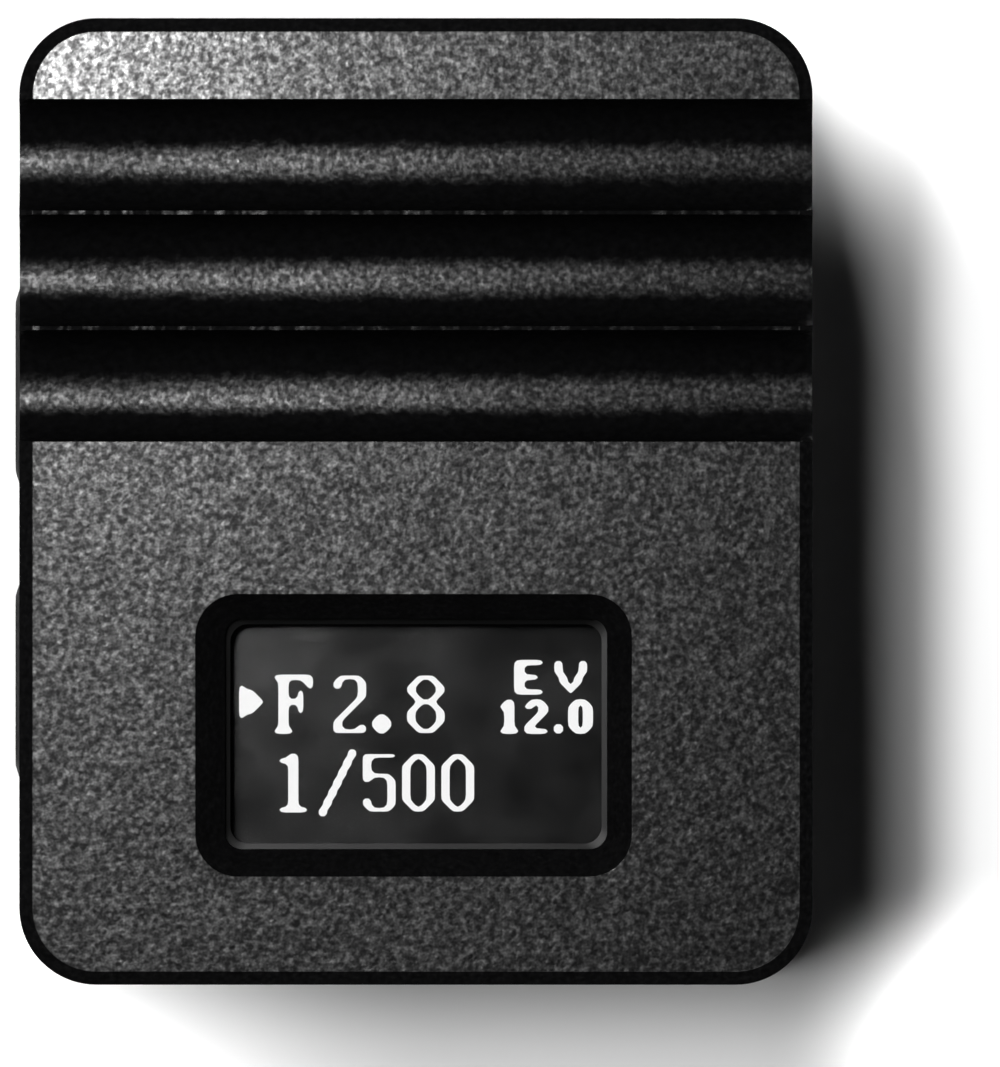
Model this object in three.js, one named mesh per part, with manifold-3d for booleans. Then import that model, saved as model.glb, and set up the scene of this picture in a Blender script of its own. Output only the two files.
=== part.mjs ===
// Shoe mount light meter, in millimetres.
// The origin is the centre of the shoe foot's underside, +X is the right side seen from above
// with the display upright, +Y points to the subject and +Z is up.

import * as THREE from 'three';
import { mergeVertices } from 'three/addons/utils/BufferGeometryUtils.js';
import Module from 'manifold-3d';

const wasm = await Module();
wasm.setup();

// Outer body: its width and length are the sums of what lies side by side on its top
const sideStrip = 4.685;
const frontStrip = 2.05;
const middleStrip = 3.9;
const rearStrip = 2.87;
const bodyCornerRadius = 2;
const edgeChamfer = 0.3;
const sideWall = 1.2;
const roofThickness = 1;
const basePlateThickness = 1.4;

// Flutes across the front half of the top
const fluteCount = 3;
const flutePitch = 3;
const fluteLand = 0.1;
const fluteDepth = 1.45;

// Accessory shoe foot
const footWidth = 18.5;
const footLength = 18;
const footThickness = 2;
const footCornerRadius = 1;
const footChamfer = 0.25;
const neckWidth = 12.3;
const neckHeight = 1.6;
const footScrewInsetX = 2.15;
const footScrewInsetY = 3;

// Display window
const windowOpeningWidth = 9.93;
const windowOpeningLength = 5.98;
const windowCornerRadius = 0.45;
const windowThickness = 0.8;
const windowSeatLip = 0.7;
const windowClearance = 0.1;
const windowLand = 0.2;
const recessDepth = 0.8;
const recessBevelWidth = 0.65;

// Display module
const gasketThickness = 0.2;
const gasketLip = 0.65;
const gasketSetback = 0.1;
const panelSideLip = 1.035;
const panelRearLip = 0.81;
const coverGlassFrontLip = 1.71;
const panelLedgeLength = 2.5;
const panelThickness = 0.7;
const coverGlassThickness = 0.7;
const driverChipLength = 6;
const driverChipWidth = 0.9;
const driverChipHeight = 0.14;
const driverChipGap = 0.25;
const foamThickness = 0.7;
const foamInset = 1;
const flexWidth = 5;
const flexThickness = 0.12;
const flexBondLength = 0.6;
const flexClearance = 0.1;
const connectorSide = 0.7;
const connectorLength = 2;
const connectorHeight = 0.9;
const connectorGap = 1.2;
const connectorWall = 0.3;

// Main board
const boardThickness = 0.8;
const boardClearance = 0.3;
const boardEdgeSetback = 1.3;
const boardScrewInset = 2.4;
const boardScrewSetback = 3;

// Chips on the main board: width, length and height
const controllerSize = 3;
const controllerHeight = 0.85;
const converterWidth = 2.9;
const converterLength = 1.6;
const converterHeight = 1.1;
const inductorSize = 2.2;
const inductorHeight = 1.2;
const crystalWidth = 3.2;
const crystalLength = 1.5;
const crystalHeight = 0.8;
const chipLength = 1.6;
const chipWidth = 0.8;
const chipHeight = 0.7;
const reservoirLength = 3;
const reservoirWidth = 1.6;
const reservoirHeight = 1.6;

// Button cell and its drawer
const batteryDiameter = 11.6;
const batteryHeight = 5.4;
const batteryCapHeight = 0.6;
const batteryCapProud = 0.25;
const batteryCrimp = 0.45;
const batterySealWidth = 0.45;
const batterySealGap = 0.05;
const batteryEdgeRadius = 0.4;
const batteryClearance = 0.15;
const trayFloorThickness = 0.4;
const trayWall = 0.5;
const trayWallHeight = 1.9;
const trayEndClearance = 0.5;
const trayEarLength = 0.8;
const trayEarWidth = 0.4;
const trayEarHeight = 1;
const drawerTopCover = 0.1;
const drawerExitMargin = 0.4;
const slideClearance = 0.2;
const railThickness = 0.9;
const railHeight = 1.8;
const nailNotchLength = 5;
const nailNotchRadius = 0.9;
const nailNotchDepth = 0.45;

// Battery contacts
const leafThickness = 0.2;
const leafWidth = 1.6;
const leafSlotClearance = 0.4;
const leafCrownLength = 2;
const leafRampLength = 1.6;
const leafTipLength = 0.9;
const leafPadLength = 2;
const contactGap = 0.1;
const contactSpace = 0.7;
const contactPinRadius = 0.4;
const contactPinInset = 2.6;

// Push buttons
const sideButtonLength = 5.4;
const sideButtonHeight = 3;
const sideButtonCornerRadius = 1;
const sideButtonProtrusion = 0.15;
const sideButtonBevelWidth = 0.48;
const sideButtonSpacing = 7.67;
const upButtonForward = 3;
const measureButtonLength = 4.4;
const measureButtonHeight = 3.2;
const measureButtonCornerRadius = 1.5;
const measureButtonProtrusion = 0.05;
const measureButtonBevelWidth = 0.85;
const measureButtonSide = 1.85;
const buttonClearance = 0.15;
const buttonPlay = 0.1;
const buttonFlangeLip = 0.4;
const buttonFlangeThickness = 0.6;
const buttonStemLength = 0.3;
const buttonStemRadius = 0.7;

// Tactile switches under the main board
const switchWidth = 4;
const switchLength = 2.6;
const switchHeight = 1.8;
const plungerWidth = 1.6;
const plungerHeight = 0.9;
const plungerProud = 0.6;
const plungerInside = 0.5;
const plungerClearance = 0.1;
const switchTravel = 0.25;
const domeThickness = 0.12;
const domeGap = 0.15;

// Light sensor in the front wall
const ringDiameter = 4.7;
const ringBore = 3.5;
const ringDomeHeight = 0.07;
const ringClearance = 0.1;
const lensThickness = 0.8;
const lensClearance = 0.1;
const sensorBoardGap = 0.35;
const tubeBore = 3.6;
const tubeWall = 0.4;
const sensorBoardWidth = 5.2;
const sensorBoardThickness = 0.6;
const sensorBoardMargin = 0.2;
const photodiodeWidth = 2.2;
const photodiodeHeight = 1.7;
const photodiodeThickness = 0.9;
const railToBoardGap = 0.3;

// Screws and their bosses
const baseScrewInsetX = 2.6;
const baseScrewInsetY = 1.8;
const baseScrewHeadRadius = 1.2;
const baseScrewHeadHeight = 0.7;
const baseScrewShankRadius = 0.65;
const baseScrewLength = 5;
const baseBossRadius = 1.4;
const footScrewHeadRadius = 1.9;
const footScrewHeadHeight = 1;
const footScrewShankRadius = 0.95;
const footScrewEndCover = 0.15;
const boardScrewHeadRadius = 0.95;
const boardScrewHeadHeight = 0.45;
const boardScrewShankRadius = 0.5;
const boardScrewEngagement = 1.1;
const boardBossRadius = 1.1;
const screwClearance = 0.15;
const socketDepthShare = 0.6;
const socketWidthShare = 0.42;

// Ribs and posts of the base plate
const lipLength = 9;
const lipThickness = 0.6;
const lipHeight = 0.8;
const lipClearance = 0.15;
const postRadius = 0.8;
const postGap = 0.4;

// Shared by every cut and every round form
const overrun = 1;
const weldDistance = 0.0001;
const roundSides = 32;
const smallRoundSides = 16;
const socketSides = 6;
const cornerSteps = 10;
const smallCornerSteps = 5;
const fluteSteps = 36;
const pillShare = 0.98;

// Heights, from the foot's underside up
const zBaseBottom = footThickness + neckHeight;
const zBaseTop = zBaseBottom + basePlateThickness;
const zTrayBottom = zBaseTop + slideClearance;
const zBatteryBottom = zTrayBottom + trayFloorThickness;
const zBatteryTop = zBatteryBottom + batteryHeight;
const zBoardBottom = zBatteryTop + contactSpace;
const zBoardTop = zBoardBottom + boardThickness;
const zPanelBottom = zBoardTop + foamThickness;
const zPanelTop = zPanelBottom + panelThickness;
const zCoverTop = zPanelTop + coverGlassThickness;
const zWindowBottom = zCoverTop + gasketThickness;
const zWindowTop = zWindowBottom + windowThickness;
const zRecessBottom = zWindowTop + windowLand;
const zBodyTop = zRecessBottom + recessDepth;
const zFrontCeiling = zBodyTop - fluteDepth - roofThickness;
const zRoofMiddle = zFrontCeiling + roofThickness / 2;
const zDrawerTop = zBatteryTop + drawerTopCover;
const zPlunger = zBoardBottom - switchHeight / 2;
const zSensor = zBoardBottom - sensorBoardGap - ringDiameter / 2;

// Places across and along the body
const recessWidth = windowOpeningWidth + 2 * recessBevelWidth;
const recessLength = windowOpeningLength + 2 * recessBevelWidth;
const bodyWidth = recessWidth + 2 * sideStrip;
const bodyLength = frontStrip + fluteCount * flutePitch + middleStrip + recessLength + rearStrip;
const bodyHalfWidth = bodyWidth / 2;
const bodyHalfLength = bodyLength / 2;
const innerHalfWidth = bodyHalfWidth - sideWall;
const innerHalfLength = bodyHalfLength - sideWall;
const innerCornerRadius = Math.max(bodyCornerRadius - sideWall, sideWall / 2);
const windowCentreY = -bodyHalfLength + rearStrip + recessLength / 2;
const panelHalfWidth = windowOpeningWidth / 2 + panelSideLip;
const panelRearY = windowCentreY - windowOpeningLength / 2 - panelRearLip;
const coverGlassFrontY = windowCentreY + windowOpeningLength / 2 + coverGlassFrontLip;
const panelFrontY = coverGlassFrontY + panelLedgeLength;
const rearCeilingFrontY = panelFrontY + boardClearance;
const connectorRearY = panelFrontY + connectorGap;
const connectorFrontY = connectorRearY + connectorLength;
const connectorHalfWidth = flexWidth / 2 + connectorSide;
const batteryRadius = batteryDiameter / 2;
const batteryX = innerHalfWidth - batteryClearance - batteryRadius;
const trayInnerHalf = batteryRadius + batteryClearance;
const trayOuterHalf = trayInnerHalf + trayWall;
const trayEndX = -innerHalfWidth + trayEndClearance;
const railInnerHalf = trayOuterHalf + slideClearance;
const railOuterHalf = railInnerHalf + railThickness;
const drawerTravel = batteryDiameter + sideWall + drawerExitMargin;
const contactPinX = -innerHalfWidth + contactPinInset;
const tubeOuterRadius = tubeBore / 2 + tubeWall;
const sensorBoardRearY = railOuterHalf + railToBoardGap;
const sensorBoardFrontY = sensorBoardRearY + sensorBoardThickness;
const boardLeft = -innerHalfWidth + boardEdgeSetback;
const boardRight = innerHalfWidth - boardClearance;
const boardRear = -innerHalfLength + boardEdgeSetback;
const boardFront = innerHalfLength - boardClearance;
const baseScrewX = bodyHalfWidth - baseScrewInsetX;
const baseScrewY = bodyHalfLength - baseScrewInsetY;
const footScrewX = neckWidth / 2 - footScrewInsetX;
const footScrewY = footLength / 2 - footScrewInsetY;
const boardScrewY = boardFront - boardScrewSetback;
const boardScrewXs = [boardLeft + boardScrewInset, boardRight - boardScrewInset];
const plungerDepth = sideWall + buttonPlay + buttonFlangeThickness + buttonStemLength;
const switchDepth = plungerDepth + plungerProud;
const cavityDepth = plungerInside + switchTravel + domeGap + domeThickness;
const postOffsetX = measureButtonSide + switchWidth / 2 + postGap + postRadius;
const postY = -(railOuterHalf - boardRear) / 2;
const corners = [[-1, -1], [1, -1], [-1, 1], [1, 1]];

// Where the small parts sit on the board's top, as shares of the free width and length
const converterPlaceShares = [0.86, 0.2];
const crystalPlaceShares = [0.14, 0.2];
const capacitorPlaceShares = [[0.14, 0.02], [0.28, 0.97], [0.72, 0.97]];
const resistorPlaceShares = [[0.3, 0.62], [0.7, 0.62]];
const controllerPlaceShare = 0.5;

// Materials
const nylon = new THREE.MeshStandardMaterial({ color: 0x1c1c1d, roughness: 0.55, metalness: 0 });
const footPlastic = new THREE.MeshStandardMaterial({ color: 0x161617, roughness: 0.45, metalness: 0 });
const blackSteel = new THREE.MeshStandardMaterial({ color: 0x2a2a2c, roughness: 0.4, metalness: 1 });
const clearPane = new THREE.MeshStandardMaterial({ color: 0xd8dde0, roughness: 0.05, metalness: 0 });
const darkGlass = new THREE.MeshStandardMaterial({ color: 0x202224, roughness: 0.1, metalness: 0 });
const foam = new THREE.MeshStandardMaterial({ color: 0x303032, roughness: 0.95, metalness: 0 });
const flexFilm = new THREE.MeshStandardMaterial({ color: 0xa8632a, roughness: 0.4, metalness: 0 });
const boardGreen = new THREE.MeshStandardMaterial({ color: 0x14432b, roughness: 0.45, metalness: 0 });
const chipBlack = new THREE.MeshStandardMaterial({ color: 0x141414, roughness: 0.5, metalness: 0 });
const ceramicTan = new THREE.MeshStandardMaterial({ color: 0x9a7b58, roughness: 0.6, metalness: 0 });
const canSteel = new THREE.MeshStandardMaterial({ color: 0xb9bbbd, roughness: 0.25, metalness: 1 });
const goldBrass = new THREE.MeshStandardMaterial({ color: 0xc9a24a, roughness: 0.3, metalness: 1 });
const switchPlastic = new THREE.MeshStandardMaterial({ color: 0x26262a, roughness: 0.5, metalness: 0 });
const opticGlass = new THREE.MeshStandardMaterial({ color: 0x3a4148, roughness: 0.05, metalness: 0 });
const sealNylon = new THREE.MeshStandardMaterial({ color: 0xd7d2bf, roughness: 0.6, metalness: 0 });

// Directions that an outline drawn flat is turned to
const axisX = new THREE.Vector3(1, 0, 0);
const axisY = new THREE.Vector3(0, 1, 0);
const axisZ = new THREE.Vector3(0, 0, 1);
const alongX = new THREE.Matrix4().makeBasis(axisY, axisZ, axisX);
const alongY = new THREE.Matrix4().makeBasis(axisX, axisZ, axisY.clone().negate());

function solidFrom(geometry) {
  geometry.deleteAttribute('normal');
  geometry.deleteAttribute('uv');
  const merged = mergeVertices(geometry, weldDistance);
  const index = merged.index.array;
  return new wasm.Manifold(new wasm.Mesh({
    numProp: 3,
    vertProperties: new Float32Array(merged.attributes.position.array),
    triVerts: new Uint32Array(index),
  }));
}

function named(name, solid, material) {
  const result = solid.getMesh();
  const geometry = new THREE.BufferGeometry();
  geometry.setAttribute('position', new THREE.BufferAttribute(new Float32Array(result.vertProperties), 3));
  geometry.setIndex(new THREE.BufferAttribute(new Uint32Array(result.triVerts), 1));
  geometry.computeVertexNormals();
  const mesh = new THREE.Mesh(geometry, material);
  mesh.name = name;
  return mesh;
}

function block([xLow, xHigh], [yLow, yHigh], [zLow, zHigh]) {
  const geometry = new THREE.BoxGeometry(xHigh - xLow, yHigh - yLow, zHigh - zLow);
  geometry.translate((xLow + xHigh) / 2, (yLow + yHigh) / 2, (zLow + zHigh) / 2);
  return solidFrom(geometry);
}

function centredBlock(width, length, zLow, zHigh) {
  return block([-width / 2, width / 2], [-length / 2, length / 2], [zLow, zHigh]);
}

function upright(radius, zLow, zHigh, x, y, sides = smallRoundSides, topRadius = radius) {
  const geometry = new THREE.CylinderGeometry(topRadius, radius, zHigh - zLow, sides);
  geometry.rotateX(Math.PI / 2);
  geometry.translate(x, y, (zLow + zHigh) / 2);
  return solidFrom(geometry);
}

function roundedOutline(width, length, radius) {
  const corner = Math.min(radius, pillShare * width / 2, pillShare * length / 2);
  const right = width / 2 - corner;
  const top = length / 2 - corner;
  const quarter = Math.PI / 2;
  const outline = new THREE.Shape();
  outline.absarc(right, top, corner, 0, quarter, false);
  outline.absarc(-right, top, corner, quarter, 2 * quarter, false);
  outline.absarc(-right, -top, corner, 2 * quarter, 3 * quarter, false);
  outline.absarc(right, -top, corner, 3 * quarter, 4 * quarter, false);
  return outline;
}

function plate(outline, zLow, zHigh, x = 0, y = 0, steps = smallCornerSteps) {
  const geometry = new THREE.ExtrudeGeometry(outline, {
    depth: zHigh - zLow,
    bevelEnabled: false,
    curveSegments: steps,
  });
  geometry.translate(x, y, zLow);
  return solidFrom(geometry);
}

// A plate whose edges slope in at both ends: rise is the slope's height, run how far it comes in
function slopedPlate(outline, zLow, zHigh, rise, run, steps = smallCornerSteps) {
  const geometry = new THREE.ExtrudeGeometry(outline, {
    depth: zHigh - zLow - 2 * rise,
    bevelEnabled: true,
    bevelThickness: rise,
    bevelSize: run,
    bevelOffset: -run,
    bevelSegments: 1,
    curveSegments: steps,
  });
  geometry.translate(0, 0, zLow + rise);
  return solidFrom(geometry);
}

// A turned form about the Z axis from radius and height pairs that start and end on the axis
function turned(profile, sides = roundSides) {
  const points = profile.map(([radius, height]) => new THREE.Vector2(radius, height));
  const geometry = new THREE.LatheGeometry(points, sides);
  geometry.rotateX(Math.PI / 2);
  return solidFrom(geometry);
}

function ringForm(outerRadius, innerRadius, zLow, zHigh, x, y) {
  const outside = upright(outerRadius, zLow, zHigh, x, y, roundSides);
  const bore = upright(innerRadius, zLow - overrun, zHigh + overrun, x, y, roundSides);
  return outside.subtract(bore);
}

// A bent strip: points of its lower side, and its thickness upwards
function stripOutline(points, thickness) {
  const upper = points.map(([along, up]) => [along, up + thickness]).reverse();
  return new THREE.Shape([...points, ...upper].map(([along, up]) => new THREE.Vector2(along, up)));
}

function strip(points, thickness, width, turn, shift) {
  const geometry = new THREE.ExtrudeGeometry(stripOutline(points, thickness), {
    depth: width,
    bevelEnabled: false,
  });
  geometry.applyMatrix4(turn);
  geometry.translate(shift.x, shift.y, shift.z);
  return solidFrom(geometry);
}

function joined(solids) {
  return solids.reduce((whole, solid) => whole.add(solid));
}

function cutFrom(solid, cutters) {
  return cutters.reduce((rest, cutter) => rest.subtract(cutter), solid);
}

// Outer body, split at the parting line between housing and base plate
function bodyBlock() {
  const outline = roundedOutline(bodyWidth, bodyLength, bodyCornerRadius);
  return slopedPlate(outline, zBaseBottom, zBodyTop, edgeChamfer, edgeChamfer, cornerSteps);
}

function slab(zLow, zHigh) {
  return centredBlock(bodyWidth + overrun, bodyLength + overrun, zLow, zHigh);
}

function fluteCutters() {
  const halfChord = (flutePitch - fluteLand) / 2;
  const cutters = [];
  for (let flute = 0; flute < fluteCount; flute += 1) {
    const centreY = bodyHalfLength - frontStrip - flutePitch * (flute + 1 / 2);
    const outline = new THREE.Shape();
    outline.absellipse(0, 0, halfChord, fluteDepth, 0, 2 * Math.PI, false);
    const geometry = new THREE.ExtrudeGeometry(outline, {
      depth: bodyWidth + 2 * overrun,
      bevelEnabled: false,
      curveSegments: fluteSteps,
    });
    geometry.applyMatrix4(alongX);
    geometry.translate(-bodyHalfWidth - overrun, centreY, zBodyTop);
    cutters.push(solidFrom(geometry));
  }
  return cutters;
}

// The opening, the sloped recess above it and the seat for the pane below it
function windowCutters() {
  const opening = roundedOutline(windowOpeningWidth, windowOpeningLength, windowCornerRadius);
  const through = plate(opening, zWindowTop - overrun, zBodyTop + overrun, 0, windowCentreY);
  const slopeOutline = roundedOutline(recessWidth, recessLength, windowCornerRadius + recessBevelWidth);
  const slope = slopedPlate(
    slopeOutline,
    zRecessBottom,
    zBodyTop + 2 * recessDepth,
    recessDepth,
    recessBevelWidth,
  );
  const seatWidth = windowOpeningWidth + 2 * windowSeatLip + 2 * windowClearance;
  const seatLength = windowOpeningLength + 2 * windowSeatLip + 2 * windowClearance;
  const seatOutline = roundedOutline(seatWidth, seatLength, windowCornerRadius);
  const seat = plate(seatOutline, zWindowBottom - overrun / 2, zWindowTop, 0, windowCentreY);
  return [through, slope.translate([0, windowCentreY, 0]), seat];
}

function housingHollow() {
  const width = 2 * innerHalfWidth;
  const low = zBaseTop - overrun;
  const hollow = plate(roundedOutline(width, 2 * innerHalfLength, innerCornerRadius), low, zFrontCeiling);
  const rearDepth = innerHalfLength + rearCeilingFrontY;
  const rearCentreY = rearCeilingFrontY - rearDepth / 2;
  const rearOutline = roundedOutline(width, rearDepth, innerCornerRadius);
  return hollow.add(plate(rearOutline, low, zWindowBottom, 0, rearCentreY));
}

function baseBosses() {
  return corners.map(([sideX, sideY]) => (
    upright(baseBossRadius, zBaseTop, zRoofMiddle, sideX * baseScrewX, sideY * baseScrewY)
  ));
}

function boardBosses() {
  return boardScrewXs.map((x) => upright(boardBossRadius, zBoardTop, zRoofMiddle, x, boardScrewY));
}

function screwBores() {
  const baseBore = baseScrewShankRadius + screwClearance;
  const baseEnd = zBaseBottom + baseScrewLength + screwClearance;
  const baseBores = corners.map(([sideX, sideY]) => (
    upright(baseBore, zBaseTop - overrun, baseEnd, sideX * baseScrewX, sideY * baseScrewY)
  ));
  const boardBore = boardScrewShankRadius + screwClearance;
  const boardEnd = zBoardTop + boardScrewEngagement + screwClearance;
  const boardBores = boardScrewXs.map((x) => (
    upright(boardBore, zBoardTop - overrun, boardEnd, x, boardScrewY)
  ));
  return [...baseBores, ...boardBores];
}

function drawerOpening() {
  const half = trayOuterHalf + slideClearance;
  const top = zDrawerTop + slideClearance;
  return block([innerHalfWidth - overrun, bodyHalfWidth + overrun], [-half, half], [zBaseTop - overrun, top]);
}

function sensorBore() {
  const radius = ringDiameter / 2 + ringClearance;
  const bore = upright(radius, innerHalfLength - overrun, bodyHalfLength + overrun, 0, 0, roundSides);
  return bore.rotate([-90, 0, 0]).translate([0, 0, zSensor]);
}

// The three push buttons: place on the wall, the way they face and their sizes
const buttonKinds = [
  {
    name: 'up',
    x: -bodyHalfWidth,
    y: upButtonForward,
    turn: Math.PI,
    length: sideButtonLength,
    height: sideButtonHeight,
    corner: sideButtonCornerRadius,
    protrusion: sideButtonProtrusion,
    bevel: sideButtonBevelWidth,
  },
  {
    name: 'down',
    x: -bodyHalfWidth,
    y: upButtonForward - sideButtonSpacing,
    turn: Math.PI,
    length: sideButtonLength,
    height: sideButtonHeight,
    corner: sideButtonCornerRadius,
    protrusion: sideButtonProtrusion,
    bevel: sideButtonBevelWidth,
  },
  {
    name: 'measure',
    x: measureButtonSide,
    y: -bodyHalfLength,
    turn: -Math.PI / 2,
    length: measureButtonLength,
    height: measureButtonHeight,
    corner: measureButtonCornerRadius,
    protrusion: measureButtonProtrusion,
    bevel: measureButtonBevelWidth,
  },
];

function buttonOpening(kind) {
  const outline = roundedOutline(
    kind.length + 2 * buttonClearance,
    kind.height + 2 * buttonClearance,
    kind.corner + buttonClearance,
  );
  const geometry = new THREE.ExtrudeGeometry(outline, {
    depth: sideWall + 2 * overrun,
    bevelEnabled: false,
    curveSegments: smallCornerSteps,
  });
  geometry.applyMatrix4(alongX);
  geometry.translate(-sideWall - overrun, 0, 0);
  geometry.rotateZ(kind.turn);
  geometry.translate(kind.x, kind.y, zPlunger);
  return solidFrom(geometry);
}

function housing() {
  const shell = bodyBlock().intersect(slab(zBaseTop, zBodyTop + overrun));
  const hollow = shell.subtract(housingHollow());
  const bossed = joined([hollow, ...baseBosses(), ...boardBosses()]);
  const cutters = [
    ...fluteCutters(),
    ...windowCutters(),
    ...screwBores(),
    ...buttonKinds.map(buttonOpening),
    drawerOpening(),
    sensorBore(),
  ];
  return named('housing', cutFrom(bossed, cutters), nylon);
}

// Base plate with drawer rails, locating lips and the posts that hold up the board's rear end
function drawerRails() {
  const rearEnd = -innerHalfWidth + lipClearance;
  const frontEnd = innerHalfWidth - lipClearance;
  const earFront = trayEndX + trayEarLength + drawerTravel + slideClearance;
  const groove = railInnerHalf + trayEarWidth;
  const grooveTop = zTrayBottom + trayEarHeight + slideClearance;
  return [-1, 1].map((side) => {
    const across = [side * railInnerHalf, side * railOuterHalf].sort((a, b) => a - b);
    const grooveAcross = [side * (railInnerHalf - overrun), side * groove].sort((a, b) => a - b);
    const rail = block([rearEnd, frontEnd], across, [zBaseTop, zBaseTop + railHeight]);
    return rail.subtract(block([rearEnd - overrun, earFront], grooveAcross, [zBaseTop, grooveTop]));
  });
}

function baseLips() {
  const outer = innerHalfLength - lipClearance;
  const inner = outer - lipThickness;
  const along = [-lipLength / 2, lipLength / 2];
  const up = [zBaseTop, zBaseTop + lipHeight];
  return [block(along, [inner, outer], up), block(along, [-outer, -inner], up)];
}

function boardPosts() {
  return [-postOffsetX, postOffsetX].map((x) => upright(postRadius, zBaseTop, zBoardBottom, x, postY));
}

function countersink(headRadius, headHeight, shankRadius, zLow, zEnd, x, y) {
  const cutter = turned([
    [0, zLow - overrun],
    [headRadius, zLow - overrun],
    [headRadius, zLow],
    [shankRadius, zLow + headHeight],
    [shankRadius, zEnd],
    [0, zEnd],
  ], smallRoundSides);
  return cutter.translate([x, y, 0]);
}

function baseScrewHoles() {
  return corners.map(([sideX, sideY]) => countersink(
    baseScrewHeadRadius + screwClearance,
    baseScrewHeadHeight,
    baseScrewShankRadius + screwClearance,
    zBaseBottom,
    zBaseTop + overrun,
    sideX * baseScrewX,
    sideY * baseScrewY,
  ));
}

function footScrewHoles(zLow, zHigh) {
  return corners.map(([sideX, sideY]) => countersink(
    footScrewHeadRadius + screwClearance,
    footScrewHeadHeight,
    footScrewShankRadius + screwClearance,
    zLow,
    zHigh,
    sideX * footScrewX,
    sideY * footScrewY,
  ));
}

function basePlate() {
  const floor = bodyBlock().intersect(slab(zBaseBottom - overrun, zBaseTop));
  const whole = joined([floor, ...drawerRails(), ...baseLips(), ...boardPosts()]);
  const cutters = [...baseScrewHoles(), ...footScrewHoles(0, zBaseTop + overrun)];
  return named('base_plate', cutFrom(whole, cutters), nylon);
}

function shoeFoot() {
  const outline = roundedOutline(footWidth, footLength, footCornerRadius);
  const foot = slopedPlate(outline, 0, footThickness, footChamfer, footChamfer);
  const neck = centredBlock(neckWidth, footLength - 2 * footChamfer, footThickness / 2, zBaseBottom);
  return named('shoe_foot', cutFrom(foot.add(neck), footScrewHoles(0, zBaseBottom + overrun)), footPlastic);
}

// A countersunk screw with a six sided socket, head down, drawn from its head's face
function countersunkScrew(name, headRadius, headHeight, shankRadius, length, x, y, z) {
  const body = turned([
    [0, 0],
    [headRadius, 0],
    [shankRadius, headHeight],
    [shankRadius, length],
    [0, length],
  ], smallRoundSides);
  const socketDepth = socketDepthShare * headHeight;
  const socket = upright(socketWidthShare * headRadius, -overrun, socketDepth, 0, 0, socketSides);
  const screw = named(name, body.subtract(socket), blackSteel);
  screw.position.set(x, y, z);
  return screw;
}

function baseScrews() {
  return corners.map(([sideX, sideY], index) => countersunkScrew(
    `base_screw_${index + 1}`,
    baseScrewHeadRadius,
    baseScrewHeadHeight,
    baseScrewShankRadius,
    baseScrewLength,
    sideX * baseScrewX,
    sideY * baseScrewY,
    zBaseBottom,
  ));
}

function footScrews() {
  return corners.map(([sideX, sideY], index) => countersunkScrew(
    `foot_screw_${index + 1}`,
    footScrewHeadRadius,
    footScrewHeadHeight,
    footScrewShankRadius,
    zBaseTop - footScrewEndCover,
    sideX * footScrewX,
    sideY * footScrewY,
    0,
  ));
}

// Window, gasket and display module, from the top down
function displayWindow() {
  const width = windowOpeningWidth + 2 * windowSeatLip;
  const length = windowOpeningLength + 2 * windowSeatLip;
  const outline = roundedOutline(width, length, windowCornerRadius);
  return named('display_window', plate(outline, zWindowBottom, zWindowTop, 0, windowCentreY), clearPane);
}

function windowGasket() {
  const openWidth = windowOpeningWidth + 2 * gasketSetback;
  const openLength = windowOpeningLength + 2 * gasketSetback;
  const outer = roundedOutline(openWidth + 2 * gasketLip, openLength + 2 * gasketLip, windowCornerRadius);
  const inner = roundedOutline(openWidth, openLength, windowCornerRadius);
  const sheet = plate(outer, zCoverTop, zWindowBottom, 0, windowCentreY);
  const hole = plate(inner, zCoverTop - overrun, zWindowBottom + overrun, 0, windowCentreY);
  return named('window_gasket', sheet.subtract(hole), foam);
}

function displayGlass() {
  const across = [-panelHalfWidth, panelHalfWidth];
  const panel = block(across, [panelRearY, panelFrontY], [zPanelBottom, zPanelTop]);
  const cover = block(across, [panelRearY, coverGlassFrontY], [zPanelTop, zCoverTop]);
  const chipRearY = coverGlassFrontY + driverChipGap;
  const chip = block(
    [-driverChipLength / 2, driverChipLength / 2],
    [chipRearY, chipRearY + driverChipWidth],
    [zPanelTop, zPanelTop + driverChipHeight],
  );
  return [
    named('display_panel', panel, darkGlass),
    named('display_cover_glass', cover, darkGlass),
    named('display_driver_chip', chip, chipBlack),
  ];
}

function displayFlex() {
  const slotZ = zBoardTop + (connectorHeight - flexThickness) / 2;
  const tipY = connectorFrontY - connectorWall - flexThickness;
  const bendY = connectorRearY - connectorWall;
  const points = [
    [panelFrontY - flexBondLength, zPanelTop],
    [panelFrontY + flexThickness, zPanelTop],
    [bendY, slotZ],
    [tipY, slotZ],
  ];
  const shift = new THREE.Vector3(-flexWidth / 2, 0, 0);
  return named('display_flex', strip(points, flexThickness, flexWidth, alongX, shift), flexFilm);
}

function flexConnector() {
  const body = block(
    [-connectorHalfWidth, connectorHalfWidth],
    [connectorRearY, connectorFrontY],
    [zBoardTop, zBoardTop + connectorHeight],
  );
  const slotHalf = connectorHalfWidth - connectorWall;
  const slotMiddle = zBoardTop + connectorHeight / 2;
  const slotReach = flexThickness / 2 + flexClearance;
  const slot = block(
    [-slotHalf, slotHalf],
    [connectorRearY - overrun, connectorFrontY - connectorWall],
    [slotMiddle - slotReach, slotMiddle + slotReach],
  );
  return named('flex_connector', body.subtract(slot), switchPlastic);
}

function displayFoam() {
  const half = panelHalfWidth - foamInset;
  const along = [panelRearY + foamInset, panelFrontY - foamInset];
  const pad = block([-half, half], along, [zBoardTop, zPanelBottom]);
  return named('display_foam_pad', pad, foam);
}

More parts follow.
